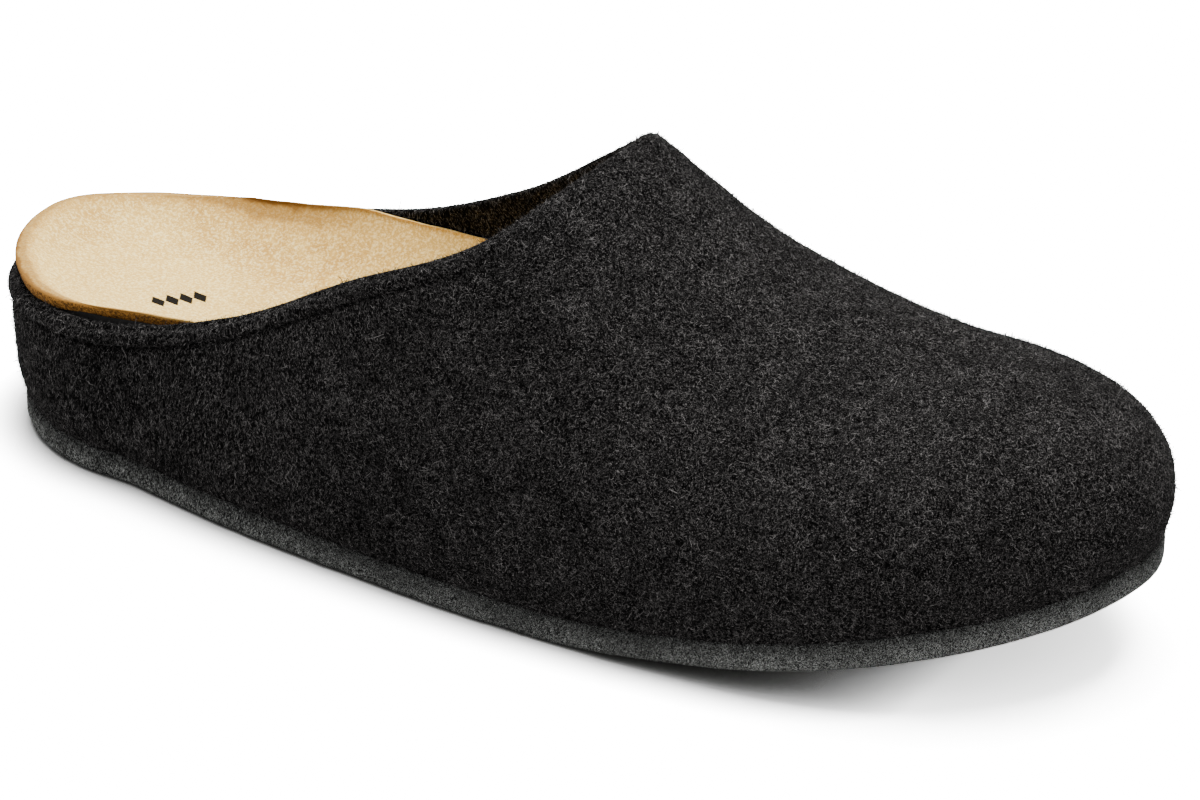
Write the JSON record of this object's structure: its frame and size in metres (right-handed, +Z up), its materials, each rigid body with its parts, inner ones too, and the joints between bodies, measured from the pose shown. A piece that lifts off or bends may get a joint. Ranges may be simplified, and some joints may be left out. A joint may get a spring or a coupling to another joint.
{
  "type": "felt slipper",
  "caption": "Backless felt slipper for the right foot: hollow charcoal felt upper with a turned collar hem, suede-covered cork footbed and a thick felt sole.",
  "frame": {"origin": "on the floor under the middle of the slipper's outer box", "axes": "+X from the heel to the toe, +Y to the inner side of the foot, +Z up from the floor"},
  "size_m": [0.2928, 0.1162, 0.0963],
  "materials": {
    "charcoal_felt": "pressed wool felt",
    "grey_felt": "dense pressed wool felt",
    "cork": "cork and latex block",
    "suede": "matt suede"
  },
  "bodies": {
    "root": {"outsole": "grey_felt", "upper": "charcoal_felt", "footbed": "cork", "insole_cover": "suede"}
  },
  "joints": []
}
